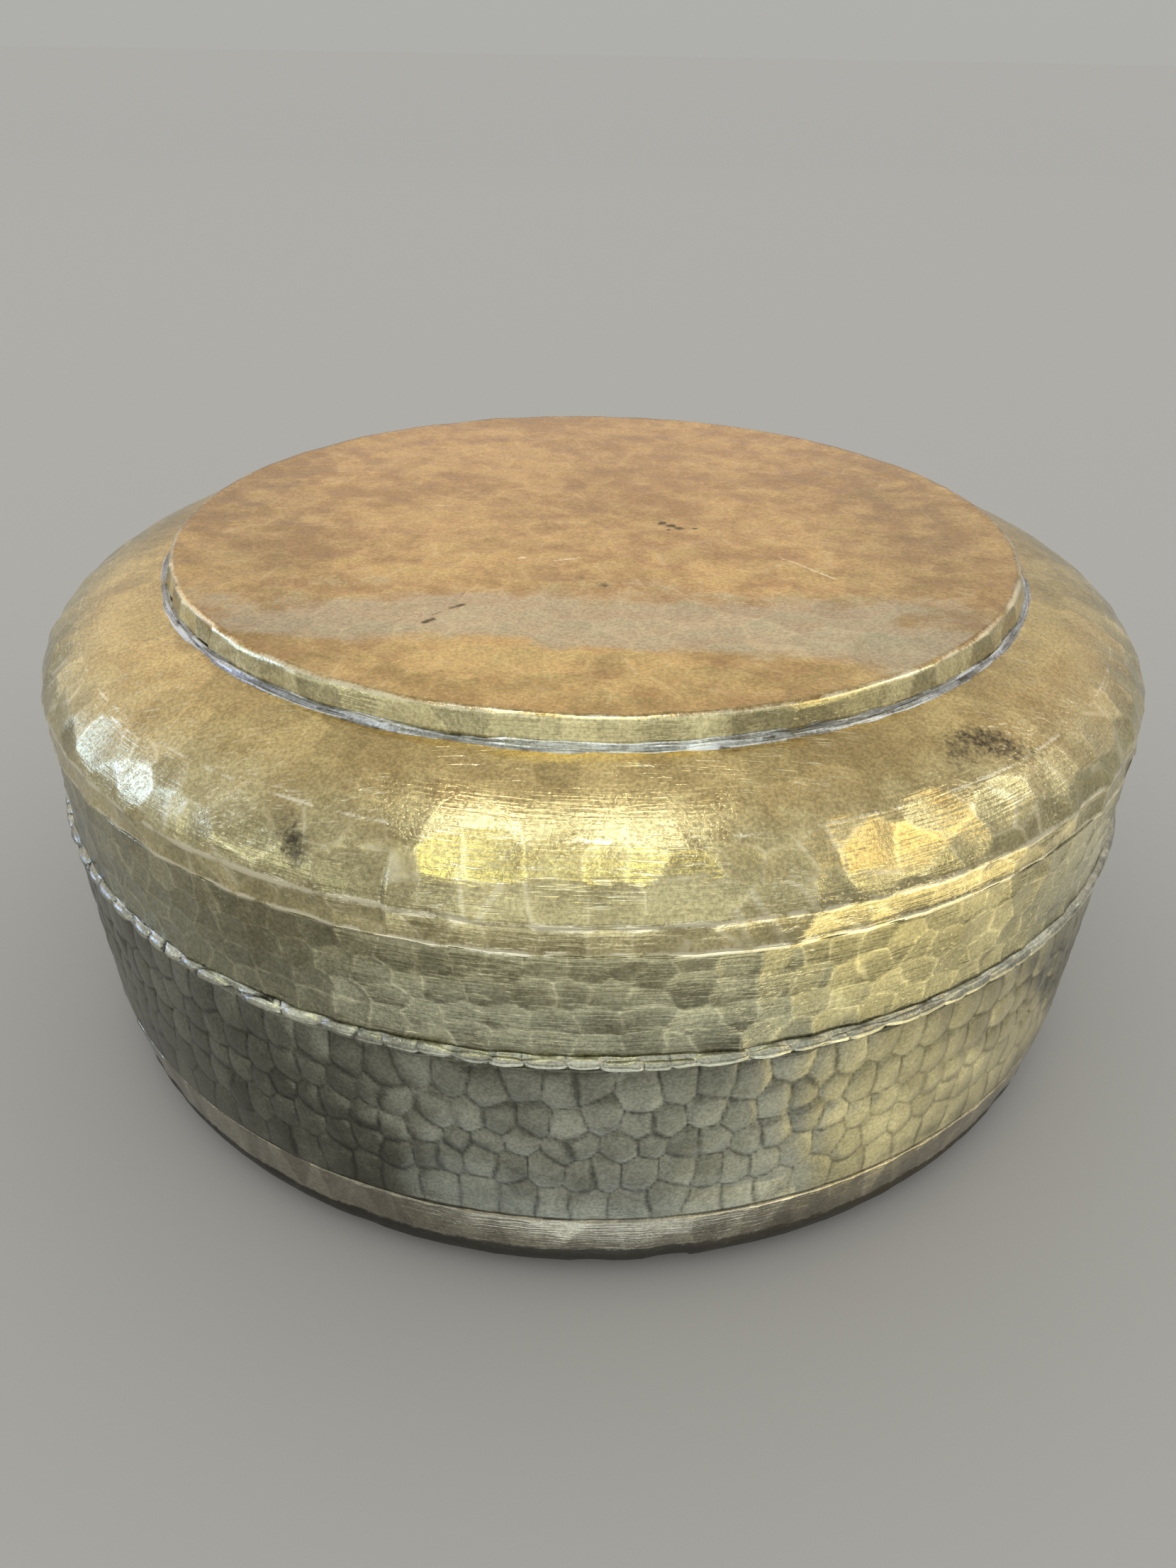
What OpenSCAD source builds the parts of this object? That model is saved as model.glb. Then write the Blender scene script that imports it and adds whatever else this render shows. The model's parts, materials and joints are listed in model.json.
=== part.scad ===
// Round hammered brass tiffin box: a drum-shaped base with a stepped rim, a
// domed lid with a raised disc on top, and four loose food bowls inside.
// Millimetres, +Z up, origin at the centre of the face it stands on.

/* [Box] */
// Outer diameter at the ridge of the lid's shoulder
box_d = 290; // [240:2:340]
// Height from the table to the raised disc
box_h = 130; // [120:1:150]
// Height of the ledge that the lid rests on
ledge_h = 73; // [68:1:78]
// Thickness of the beaten sheet
sheet_t = 1.4; // [1:0.1:1.8]

/* [Lid] */
// How far the raised disc's edge lies inside the shoulder's ridge
disc_inset = 33; // [28:1:36]
// Height of the raised disc above the shoulder
disc_rise = 5.8; // [4:0.2:8]
// Radius of the disc's rounded edge
disc_edge_r = 1.8; // [1.5:0.1:2.5]
// Drop from the top of the shoulder to its ridge
shoulder_drop = 19.2; // [15:0.2:22]
// Roundness of the shoulder: 2 is an ellipse, and less is flatter
shoulder_power = 1.7; // [1.5:0.1:2.2]
// Height of the shoulder's skirt below the ridge
skirt_h = 7; // [5:0.5:9]

/* [Base] */
// Radius of the corner between the floor and the side
corner_r = 11; // [8:0.5:13]
// Height of the bottom pan's upturned rim
pan_h = 23.4; // [20:0.2:26]
// How much narrower the side is at the pan than at the ledge
side_taper = 2.5; // [1:0.1:4]
// How far the side swells beyond a straight line
side_swell = 0.2; // [0:0.1:1.5]
// Height of the neck above the ledge
neck_rise = 14; // [10:1:18]

/* [Bowls] */
// Rim diameter of a bowl
bowl_d = 108; // [90:1:110]
// Height of a bowl
bowl_h = 47; // [35:1:50]
// Sheet thickness of a bowl
bowl_t = 1; // [0.8:0.1:1.2]
// Diameter of a bowl's flat foot
bowl_foot_d = 60; // [50:1:66]

/* [Hidden] */
$fn = 180;

braze_gap = 0.05;                      // film of filler between brazed faces
lid_gap = 0.2;                         // air under the lid's edge, on the ledge
neck_clearance = 0.5;                  // radial room between the neck and the lid
ridge_r = box_d / 2;
shoulder_z = box_h - disc_rise;        // top of the shoulder, under the disc
ridge_z = shoulder_z - shoulder_drop;
skirt_z = ridge_z - skirt_h;           // lower edge of the shoulder's skirt
disc_r = ridge_r - disc_inset;
shoulder_start_r = disc_r - 2;         // where the shoulder's curve leaves the flat
lap = 5;                               // how far brazed sheets overlap

wall_step = 0.4;                       // the skirt stands proud of the lid's wall
lid_wall_r = ridge_r - wall_step;
lid_foot_r = lid_wall_r - 0.2;
lid_bore_r = lid_foot_r - sheet_t;

neck_t = 1.2;
neck_r = lid_bore_r - neck_clearance;
neck_top = ledge_h + neck_rise;
neck_bottom = ledge_h - 15;
bead_h = 3;
bead_top_r = lid_foot_r + 0.3;
bead_r = ridge_r + 1;
side_top_z = ledge_h - bead_h;
side_top_r = ridge_r + 0.2;
side_foot_r = side_top_r - side_taper;
pan_lip_r = side_foot_r + 0.3;         // the pan's rim stands proud of the side
pan_corner_top_r = pan_lip_r - 2.4;
floor_r = pan_corner_top_r - corner_r;

bowl_count = 4;
bowl_rim_r = 1.2;                      // radius of a bowl's rolled rim
bowl_ring_r = 82;                      // bowls' centres lie on this radius
bowl_rest_z = sheet_t + 0.2;

steps = 14;                            // points along each curve
brass = "goldenrod";
aged_brass = "darkkhaki";
solder = "lightslategray";

// Points of a quarter ellipse from straight up to straight out
function quarter(cr, cz, a, b, power = 2) = [
    for (i = [0 : steps])
        let (t = 90 * i / steps)
        [cr + a * pow(sin(t), 2 / power), cz + b * pow(cos(t), 2 / power)]
];
// Points of the corner arc from straight down to straight out
function corner(cr, cz, r) = [
    for (i = [0 : steps])
        let (t = 90 * i / steps)
        [cr + r * sin(t), cz - r * cos(t)]
];
// Radius of the base's side at a height, a straight taper with a slight swell
function side_r(z) =
    let (u = (z - pan_h) / (side_top_z - pan_h))
    side_foot_r + side_taper * u + side_swell * 4 * u * (1 - u);
// Radius of the pan's rim at a height above the corner
function pan_r(z) =
    pan_corner_top_r + (pan_lip_r - pan_corner_top_r) * (z - corner_r) / (pan_h - corner_r);
function reversed(list) = [for (i = [len(list) - 1 : -1 : 0]) list[i]];

// A ring or cap turned from its section, given as [radius, height] points
module turned(points) {
    rotate_extrude() polygon(points);
}

// Flat raised disc with its turned-down rim
module lid_top_disc() {
    edge_r = disc_edge_r;
    rim_r = disc_r + 0.6;
    rim_z = shoulder_z + braze_gap;
    color(brass) turned(concat(
        [[0, box_h]],
        quarter(disc_r - edge_r, box_h - edge_r, edge_r, edge_r),
        [[rim_r, rim_z], [rim_r - sheet_t, rim_z],
         [disc_r - sheet_t, box_h - edge_r], [disc_r - edge_r, box_h - sheet_t],
         [0, box_h - sheet_t]]
    ));
}

// Fillet of solder where the disc's rim meets the shoulder
module lid_solder_seam() {
    r = disc_r + 0.6 + braze_gap;
    z = shoulder_z + braze_gap;
    color(solder) turned([
        [r, z], [r + 2.8, z], [r + 1.5, z + 0.6], [r + 0.5, z + 1.2], [r, z + 1.9]
    ]);
}

// Shoulder: turned up inside the disc's rim, domed, and ending in a short skirt
module lid_shoulder() {
    upstand_r = disc_r - sheet_t - 0.4;
    upstand_z = box_h - sheet_t - 0.4;
    run = ridge_r - shoulder_start_r;
    outer = quarter(shoulder_start_r, ridge_z, run, shoulder_drop, shoulder_power);
    inner = quarter(shoulder_start_r, ridge_z, run - sheet_t, shoulder_drop - sheet_t, shoulder_power);
    color(brass) turned(concat(
        [[upstand_r, upstand_z], [upstand_r, shoulder_z]],
        outer,
        [[ridge_r, skirt_z], [ridge_r - sheet_t, skirt_z]],
        reversed(inner),
        [[upstand_r - sheet_t, shoulder_z - sheet_t], [upstand_r - sheet_t, upstand_z]]
    ));
}

// Side wall of the lid, its top edge tucked inside the skirt
module lid_wall() {
    tongue_r = ridge_r - sheet_t - braze_gap;
    color(brass) turned([
        [lid_foot_r, ledge_h + lid_gap], [lid_wall_r, skirt_z - braze_gap],
        [tongue_r, skirt_z - braze_gap], [tongue_r, skirt_z + lap],
        [tongue_r - sheet_t, skirt_z + lap], [tongue_r - sheet_t, skirt_z],
        [lid_wall_r - sheet_t, skirt_z - 3], [lid_bore_r, ledge_h + lid_gap]
    ]);
}

// Braze run into the corner above the tucked edge
module lid_inner_braze() {
    r = ridge_r - sheet_t - braze_gap;
    z = skirt_z + lap + braze_gap;
    color(solder) turned([
        [r - sheet_t, z], [r, z], [r - 0.1, z + 1.8], [r - 0.5, z + 0.8]
    ]);
}

// Beaten rim that makes the ledge and shows as a bead under the lid
module base_rim_bead() {
    inner_r = neck_r + braze_gap;
    bottom_z = side_top_z + braze_gap;
    color(aged_brass) turned([
        [inner_r, bottom_z], [side_top_r + 0.1, bottom_z], [bead_r, bottom_z + 0.7],
        [bead_r, bottom_z + 1.3], [bead_top_r + 0.5, ledge_h - 0.4],
        [bead_top_r, ledge_h], [inner_r, ledge_h]
    ]);
}

// Upright neck that centres the lid
module base_neck_collar() {
    lead_in = 0.4;
    color(brass) turned([
        [neck_r - neck_t, neck_bottom], [neck_r, neck_bottom],
        [neck_r, neck_top - lead_in], [neck_r - lead_in, neck_top],
        [neck_r - neck_t, neck_top]
    ]);
}

// Braze between the neck's foot and the side
module neck_braze() {
    low_z = neck_bottom + 2;
    high_z = side_top_z - 0.2;
    color(solder) turned([
        [neck_r + braze_gap, low_z],
        [side_r(low_z) - sheet_t - braze_gap, low_z],
        [side_r(high_z) - sheet_t - 2 * braze_gap, high_z],
        [neck_r + braze_gap, high_z]
    ]);
}

// Side of the base, its lower edge tucked inside the pan's rim
module base_wall() {
    lap_z = pan_h - lap - 3;
    low_z = pan_h + braze_gap;
    heights = [for (i = [0 : steps]) low_z + (side_top_z - low_z) * i / steps];
    outer = [for (z = heights) [side_r(z), z]];
    inner = [for (z = heights) if (z > pan_h + 2) [side_r(z) - sheet_t, z]];
    tuck = sheet_t + braze_gap;
    color(aged_brass) turned(concat(
        [[pan_r(lap_z) - tuck, lap_z], [pan_r(low_z) - tuck, low_z]],
        outer,
        reversed(inner),
        [[pan_r(pan_h - 0.5) - tuck - sheet_t, pan_h - 0.5],
         [pan_r(lap_z) - tuck - sheet_t, lap_z]]
    ));
}

// Braze run into the corner below the tucked edge
module base_inner_braze() {
    z = pan_h - lap - 3 - braze_gap;
    r = pan_r(z) - sheet_t - braze_gap;
    color(solder) turned([
        [r, z], [r - sheet_t, z], [r - 0.7, z - 0.9], [pan_r(z - 2.2) - sheet_t - braze_gap, z - 2.2]
    ]);
}

// Bottom pan: flat floor, rounded corner and upturned rim
module base_bottom_pan() {
    color(aged_brass) turned(concat(
        [[0, 0]],
        corner(floor_r, corner_r, corner_r),
        [[pan_lip_r, pan_h], [pan_lip_r - sheet_t, pan_h]],
        reversed(corner(floor_r, corner_r, corner_r - sheet_t)),
        [[0, sheet_t]]
    ));
}

// Food bowl with a flat foot and a rolled rim
module bowl() {
    foot_r = bowl_foot_d / 2;
    mouth_r = bowl_d / 2 - bowl_rim_r + bowl_t / 2;
    run = mouth_r - foot_r;
    rim_z = bowl_h - bowl_rim_r;
    outer = [for (p = quarter(foot_r, 0, run, rim_z)) [p[0], rim_z - p[1]]];
    inner = [for (p = quarter(foot_r, 0, run - bowl_t, rim_z - bowl_t)) [p[0], rim_z - p[1]]];
    color(brass) {
        turned(concat([[0, 0]], outer, reversed(inner), [[0, bowl_t]]));
        rotate_extrude() translate([mouth_r - bowl_t / 2, rim_z]) circle(r = bowl_rim_r, $fn = 32);
    }
}

// Bowl number i, standing on the floor of the base
module placed_bowl(i) {
    rotate([0, 0, 45 + 360 / bowl_count * (i - 1)])
        translate([bowl_ring_r, 0, bowl_rest_z]) bowl();
}

lid_top_disc();
lid_solder_seam();
lid_shoulder();
lid_wall();
lid_inner_braze();
base_rim_bead();
base_neck_collar();
neck_braze();
base_wall();
base_inner_braze();
base_bottom_pan();
for (i = [1 : bowl_count])
    placed_bowl(i);
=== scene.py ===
"""Looks of the hammered brass tiffin box: beaten sheet, solder, tarnish, wear, painted shade, highlights
and reflections, studio and camera.

Each sheet is a fine mesh of rings whose hammer marks are real relief, worked out from rows of blows.
Lengths are in metres, in the CAD frame: +Z up, the origin in the middle of the face the box stands on.
"""

import json
import math

import bpy
import numpy as np
from mathutils import Matrix, Vector


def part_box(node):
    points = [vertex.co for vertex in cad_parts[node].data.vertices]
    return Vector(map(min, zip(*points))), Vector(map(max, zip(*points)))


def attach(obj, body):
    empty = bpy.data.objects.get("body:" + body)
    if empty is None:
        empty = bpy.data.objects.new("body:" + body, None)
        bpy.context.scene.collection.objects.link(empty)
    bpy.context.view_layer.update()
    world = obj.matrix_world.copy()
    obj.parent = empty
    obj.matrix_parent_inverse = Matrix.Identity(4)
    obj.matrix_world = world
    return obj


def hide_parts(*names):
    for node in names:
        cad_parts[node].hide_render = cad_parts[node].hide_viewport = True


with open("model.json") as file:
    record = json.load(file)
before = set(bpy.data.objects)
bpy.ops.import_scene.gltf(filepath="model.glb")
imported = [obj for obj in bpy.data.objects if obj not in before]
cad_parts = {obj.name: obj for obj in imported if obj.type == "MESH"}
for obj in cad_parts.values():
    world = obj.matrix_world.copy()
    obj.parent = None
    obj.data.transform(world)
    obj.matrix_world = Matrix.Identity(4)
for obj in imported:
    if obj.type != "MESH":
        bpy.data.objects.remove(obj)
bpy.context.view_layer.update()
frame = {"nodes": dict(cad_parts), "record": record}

MM = 0.001
TAU = 2 * math.pi
FRONT = -math.pi / 2          # the angle that faces the camera

# Sizes that the CAD boxes don't give
SHEET = 1.4 * MM              # beaten sheet
NECK_SHEET = 1.2 * MM
BOWL_SHEET = 1.0 * MM
DISC_EDGE = 1.8 * MM          # radius of the raised disc's edge
RIM_SPREAD = 0.6 * MM         # the disc's rim is this much wider at its foot
DISC_LEAN = 0.6 * MM          # the beaten rim leans in this much more than the plain CAD one
SHOULDER_POWER = 1.7          # roundness of the shoulder's curve
SHOULDER_START = 2 * MM       # the curve starts this far inside the disc's edge
SKIRT = 7 * MM                # height of the shoulder's skirt
WALL_TAPER = 0.2 * MM         # the lid's side narrows this much towards its foot
TONGUE = 4.6 * MM             # the lid's side reaches this far up inside the skirt
BASE_BULGE = 0.8 * MM         # how full the base's side is, between its ends
PAN_TAPER = 2.4 * MM          # the pan's band narrows this much towards its corner
PAN_CORNER = 11 * MM          # radius of the pan's corner
ROLL = 1.2 * MM               # radius of a bowl's rolled rim
BOWL_FOOT_R = 30 * MM
BOWLS = 4

# How far each beaten surface lies under the CAD one, so that no mark stands proud of it
DISC_SUNK = 0.37 * MM
DOME_SUNK = 0.34 * MM
WALL_SUNK = 0.2 * MM
BASE_SUNK = 0.10 * MM
PAN_SUNK = 0.2 * MM
NECK_SUNK = 0.12 * MM
BOWL_SUNK = 0.12 * MM

NO_BORDER = 9.0               # further in mm from a border between marks than any border shows


def top_of(node):
    """Height of a CAD node's top."""
    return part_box(node)[1].z


def foot_of(node):
    """Height of a CAD node's underside."""
    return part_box(node)[0].z


def radius_of(node):
    """Outer radius of a CAD node centred on the box's axis."""
    low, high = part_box(node)
    return (high.x - low.x) / 2


# ---------------------------------------------------------------- relief

def row(start, end, width, radius, deep=0.1, bow=0.1, lean=0.02, stray=0.06, sink=0.02,
        reach=1.15, steep=0.15, late=0.0):
    """One row of hammer marks between two places along the profile, each about width wide.
    deep and bow are a mark's depth in mm across and along it, lean its tilt, stray and sink how far
    the blows wander, reach and steep the rim of each round-cornered mark, and late how much deeper
    in mm it cuts than its neighbours."""
    count = max(3, round(TAU * radius / width))
    return {
        "centre": (start + end) / 2, "height": abs(end - start), "count": count,
        "width": TAU * radius / count, "deep": deep * MM, "bow": bow * MM, "lean": lean,
        "stray": stray, "sink": sink * MM, "reach": reach, "steep": steep * MM, "late": late * MM,
    }


def rows_between(places, widths, radius, **how):
    """A row of marks between each place along the profile and the next."""
    return [row(a, b, w, radius, **how) for a, b, w in zip(places, places[1:], widths)]


def blows(theta, v, rows, seed, soften=0.03):
    """The surface that rows of blows leave, for each point: its depth, how far in mm it lies from the
    nearest border between marks, and its mark's own number from -1 to 1."""
    rng = np.random.default_rng(seed)
    soften = soften * MM
    best = np.full(theta.shape, 1.0)
    second = np.full(theta.shape, 1.0)
    own = np.zeros(theta.shape)
    slope = np.ones(theta.shape)
    for r in rows:
        n = r["count"]
        start = rng.uniform()
        aside = rng.normal(0, r["stray"], n)
        along_it = rng.normal(0, r["stray"], n) * r["height"]
        sink = rng.normal(0, r["sink"], n) - r["late"]
        lean_u, lean_v = rng.normal(0, r["lean"], (2, n))
        number = rng.uniform(-1, 1, n)
        place = theta / TAU * n - start
        for step in (-1, 0, 1):
            k = np.round(place).astype(int) + step
            j = k % n
            du = place - k - aside[j]
            dv = (v - r["centre"] - along_it[j]) / r["height"]
            out = np.maximum(np.hypot(2 * du, 2 * dv) - r["reach"], 0)
            h = 4 * r["deep"] * du ** 2 + 4 * r["bow"] * dv ** 2 + r["steep"] * out
            h = h + sink[j] + lean_u[j] * du * r["width"] + lean_v[j] * dv * r["height"]
            nearer = h < best
            second = np.where(nearer, best, np.minimum(second, h))
            best = np.where(nearer, h, best)
            own = np.where(nearer, number[j], own)
            slope = np.where(nearer, 4 * (r["deep"] / r["width"] + r["bow"] / r["height"]), slope)
    gap = second - best
    return best - np.maximum(soften - gap, 0) ** 2 / (4 * soften), gap / slope / MM, own


def waves(theta, v, seed, size):
    """Slow unevenness of hand-raised sheet, about size mm high."""
    rng = np.random.default_rng(seed)
    total = np.zeros(theta.shape)
    for m in (2, 3, 5, 8):
        phase, slant = rng.uniform(0, TAU, 2)
        total += np.cos(m * theta + phase + 40 * v * math.sin(slant)) / m ** 0.5
    return size * MM * total / 2


def speckle(theta, v, seed, radius, wide, tall=None):
    """Smooth random values from -1 to 1, in blobs about wide by tall. The pattern repeats up and down
    after as many blobs as it has lines."""
    rng = np.random.default_rng(seed)
    n = max(4, round(TAU * radius / wide))
    lines = 64
    values = rng.uniform(-1, 1, (lines, n))
    a = theta / TAU * n
    b = v / (tall or wide) + 7.3
    i, j = np.floor(a).astype(int), np.floor(b).astype(int)
    fa, fb = a - i, b - j
    fa, fb = fa * fa * (3 - 2 * fa), fb * fb * (3 - 2 * fb)
    here, beside = i % n, (i + 1) % n
    this, above = j % lines, (j + 1) % lines
    low = values[this, here] * (1 - fa) + values[this, beside] * fa
    high = values[above, here] * (1 - fa) + values[above, beside] * fa
    return low * (1 - fb) + high * fb


def bump_at(v, place, half):
    """A soft band round a place along the profile, half mm wide either side."""
    return np.exp(-((v - place) / (half * MM)) ** 2)


def step_at(v, place, over):
    """0 before a place along the profile and 1 once over mm past it."""
    return np.clip((v - place) / (over * MM), 0, 1)


# ---------------------------------------------------------------- profiles

def arc(centre_r, centre_z, a, b, start, end, count=24, power=2.0):
    """Points of an elliptical arc, with angles in degrees from straight up towards outward."""
    t = np.radians(np.linspace(start, end, count))
    s, c = np.sin(t), np.cos(t)
    r = centre_r + a * np.sign(s) * np.abs(s) ** (2 / power)
    z = centre_z + b * np.sign(c) * np.abs(c) ** (2 / power)
    return [(float(x), float(y)) for x, y in zip(r, z)]


def spaced(points, step):
    """A polyline resampled about every step, as rows of radius, height and length along it."""
    p = np.array(points, float)
    length = np.concatenate([[0], np.cumsum(np.hypot(*np.diff(p, axis=0).T))])
    v = np.linspace(0, length[-1], max(2, int(round(length[-1] / step)) + 1))
    return np.column_stack([np.interp(v, length, p[:, 0]), np.interp(v, length, p[:, 1]), v])


def along(path, radius):
    """Length along a path that runs outwards, where it reaches a radius."""
    return float(np.interp(radius, path[:, 0], path[:, 2]))


def facing(path):
    """Outward direction at each point of a path that runs outwards over the top and down."""
    d = np.gradient(path[:, :2], axis=0)
    d /= np.hypot(d[:, 0], d[:, 1])[:, None]
    return np.column_stack([-d[:, 1], d[:, 0]])


# ---------------------------------------------------------------- meshes

def strip(a, b, first_a, first_b):
    """Faces that join a ring of a points to the next ring of b points. b is a, twice or half as many,
    or one of them is a single point."""
    if b == 1:
        return [(first_a + k, first_b, first_a + (k + 1) % a) for k in range(a)]
    if a == 1:
        return [(first_a, first_b + k, first_b + (k + 1) % b) for k in range(b)]
    if a == b:
        return [(first_a + k, first_b + k, first_b + (k + 1) % a, first_a + (k + 1) % a) for k in range(a)]
    faces = []
    few, many = min(a, b), max(a, b)
    first_few, first_many = (first_a, first_b) if a < b else (first_b, first_a)
    for k in range(few):
        s0, s1 = first_few + k, first_few + (k + 1) % few
        l0, l1, l2 = (first_many + (2 * k + m) % many for m in range(3))
        made = [(s0, l0, l1), (s0, l1, s1), (s1, l1, l2)]
        faces += made if a < b else [f[::-1] for f in made]
    return faces


def rings_mesh(name, rings, outside, fields):
    """A closed mesh of rings of points, with named values at its points. Faces past the outside's rings
    take the piece's second material."""
    firsts = np.concatenate([[0], np.cumsum([len(p) for p in rings])]).tolist()
    faces = []
    inner = []
    for i, ring in enumerate(rings):
        j = (i + 1) % len(rings)
        if len(ring) + len(rings[j]) > 2:
            faces += strip(len(ring), len(rings[j]), firsts[i], firsts[j])
        inner += [outside <= i < len(rings) - 1] * (len(faces) - len(inner))
    mesh = bpy.data.meshes.new(name)
    mesh.from_pydata(np.concatenate(rings).tolist(), [], faces)
    mesh.shade_smooth()
    mesh.polygons.foreach_set("material_index", inner)
    for field, values in fields.items():
        values = np.asarray(values, np.float32)
        kind = "FLOAT" if values.ndim == 1 else "FLOAT_VECTOR"
        made = mesh.attributes.new(field, kind, "POINT")
        made.data.foreach_set("value" if values.ndim == 1 else "vector", values.ravel())
    mesh.validate()
    piece = bpy.data.objects.new(name, mesh)
    bpy.context.scene.collection.objects.link(piece)
    return piece


def turned(name, outer, rest, count, relief, halve=(), centre=(0.0, 0.0), lift=0.0, coarse=False):
    """A sheet turned round an upright axis. outer is the path that shows, and carries the relief. rest
    closes the section, as (radius, height, share of the relief). relief(theta, v) gives the height and
    the named values at each point. The rings' point count is halved below each radius in halve, and
    throughout rest if it's coarse."""
    normal = facing(outer)
    stations = [(r, z, v, n[0], n[1], 1.0) for (r, z, v), n in zip(outer, normal)]
    for r, z, share in rest:
        k = int(np.argmin(np.hypot(outer[:, 0] - r, outer[:, 1] - z)))
        stations.append((r, z, outer[k, 2], normal[k, 0], normal[k, 1], share))
    counts = []
    for i, (r, *_) in enumerate(stations):
        n = count // 2 ** sum(r < limit for limit in halve)
        if coarse and i >= len(outer):
            n //= 2
        counts.append(n if r > 1e-6 else 1)
    theta = np.concatenate([np.arange(n) * TAU / n for n in counts])
    r, z, v, nr, nz, share = (np.repeat([s[c] for s in stations], counts) for c in range(6))
    height, fields = relief(theta, v)
    height = height * share
    r = np.maximum(r + height * nr, 0)
    points = np.column_stack([centre[0] + r * np.cos(theta), centre[1] + r * np.sin(theta),
                              z + height * nz + lift])
    girth = float(np.max(outer[:, 0]))
    outside = (share == 1.0).astype(float)
    blank = np.zeros(theta.shape)
    values = {"rim": blank + NO_BORDER, "mark": blank, "wear_and_painted_light": blank, "stain_and_shade": blank, **fields}
    values["rim"] = np.where(outside > 0, values["rim"], NO_BORDER)
    for field in ("wear_and_painted_light", "stain_and_shade"):
        values[field] = values[field] * outside
    values["ring"] = np.column_stack([girth * np.cos(theta), girth * np.sin(theta), v])
    return rings_mesh(name, np.split(points, np.cumsum(counts)[:-1]), len(outer), values)


# ---------------------------------------------------------------- shader building blocks

def add(tree, kind, inputs=None, **settings):
    """Adds a shader node, and sets or links its inputs by name or number."""
    made = tree.nodes.new("ShaderNode" + kind)
    for key, value in settings.items():
        setattr(made, key, value)
    for key, value in (inputs or {}).items():
        if isinstance(value, bpy.types.NodeSocket):
            tree.links.new(value, made.inputs[key])
        else:
            made.inputs[key].default_value = value
    return made


def colour(rgb):
    """A shader colour."""
    return (*rgb, 1.0)


def mixed(tree, share, a, b, blend="MIX"):
    """Colour a mixed with b. Either may be a socket or a colour."""
    return add(tree, "Mix", {0: share, 6: a, 7: b}, data_type="RGBA", blend_type=blend).outputs[2]


def sums(tree, operation, a, b=0.0, clamp=False):
    """One sum on numbers or sockets."""
    return add(tree, "Math", {0: a, 1: b}, operation=operation, use_clamp=clamp).outputs[0]


def swing(tree, value, size):
    """A value around 0.5 turned into one around 0, size wide."""
    return sums(tree, "MULTIPLY", sums(tree, "SUBTRACT", value, 0.5), size)


def ranged(tree, value, low, high, to_low=0.0, to_high=1.0):
    """A value moved from one range to another, smoothly and held at the ends."""
    made = add(
        tree, "MapRange",
        {"Value": value, "From Min": low, "From Max": high, "To Min": to_low, "To Max": to_high},
        interpolation_type="SMOOTHSTEP",
    )
    return made.outputs[0]


def noise(tree, vector, scale, detail=3.0, roughness=0.55, stretch=(1, 1, 1), turn=(0, 0, 0)):
    """Noise of a scale per metre, its pattern stretched and turned."""
    moved = add(tree, "Mapping", {"Vector": vector, "Scale": stretch, "Rotation": turn})
    made = add(
        tree, "TexNoise",
        {"Vector": moved.outputs[0], "Scale": scale, "Detail": detail, "Roughness": roughness},
    )
    return made.outputs[0]


# ---------------------------------------------------------------- materials

# Colour of the dark lines between marks, and of the painted shadow under the ledge's bead
DARK_LINE_AND_SHADOW = (0.035, 0.033, 0.026)
GRIME = (0.05, 0.045, 0.035)
FINE_RELIEF = 0.25 * MM


def surface_values(tree):
    """What the metal's shader works from: places, the mesh's named values, and three sizes of noise."""
    where = add(tree, "TexCoord").outputs["Object"]
    at = {"where": where, "ring": add(tree, "Attribute", attribute_name="ring").outputs["Vector"]}
    for key in ("rim", "mark", "wear_and_painted_light", "stain_and_shade"):
        at[key] = add(tree, "Attribute", attribute_name=key).outputs["Fac"]
    at["broad"] = noise(tree, where, 16.0, 3.0, 0.6)
    at["mottle"] = noise(tree, where, 110.0, 5.0, 0.68)
    at["speck"] = noise(tree, where, 1300.0, 3.0, 0.7)
    return at


def tarnish_and_reflection(tree, at, bright, dull, far, turning, patches):
    """Patches of bright and dull metal, which turn into the far pair of colours between two lengths
    along the profile: a darker, greener lower part, partly tarnish and partly painted reflection."""
    broad = sums(tree, "MULTIPLY", at["broad"], 0.45)
    share = sums(tree, "ADD", broad, sums(tree, "MULTIPLY", at["mottle"], 0.55))
    share = ranged(tree, share, 0.5 - patches / 5, 0.5 + patches / 5)
    base = mixed(tree, share, colour(dull), colour(bright))
    if far:
        height = add(tree, "SeparateXYZ", {0: at["ring"]}).outputs[2]
        further = ranged(tree, sums(tree, "ADD", height, swing(tree, at["mottle"], 0.02)), *turning)
        base = mixed(tree, further, base, mixed(tree, share, colour(far[1]), colour(far[0])))
    return base


def clouded(tree, at, base, film):
    """A pale cloudy patch on the metal, where the mesh says."""
    cloud = add(tree, "Attribute", attribute_name="film").outputs["Fac"]
    cloud = ranged(tree, sums(tree, "ADD", cloud, swing(tree, at["mottle"], 2.0)), 0.15, 0.95, 0.0, 0.85)
    return mixed(tree, cloud, base, colour(film))


def toned(tree, at, base, marks, border, border_width, grain):
    """Each mark's own tone, lighter or darker towards its border, and fine grain."""
    near_rim = ranged(tree, at["rim"], 0.0, border_width, 1.0, 0.0)
    tone = sums(tree, "ADD", sums(tree, "MULTIPLY", at["mark"], marks), 1.0)
    tone = sums(tree, "ADD", tone, sums(tree, "MULTIPLY", near_rim, border))
    tone = sums(tree, "MULTIPLY", tone, ranged(tree, at["speck"], 0.3, 0.7, 1 - grain, 1 + grain))
    tone = add(tree, "CombineColor", {0: tone, 1: tone, 2: tone}).outputs[0]
    return mixed(tree, 1.0, base, tone, "MULTIPLY")


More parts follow.
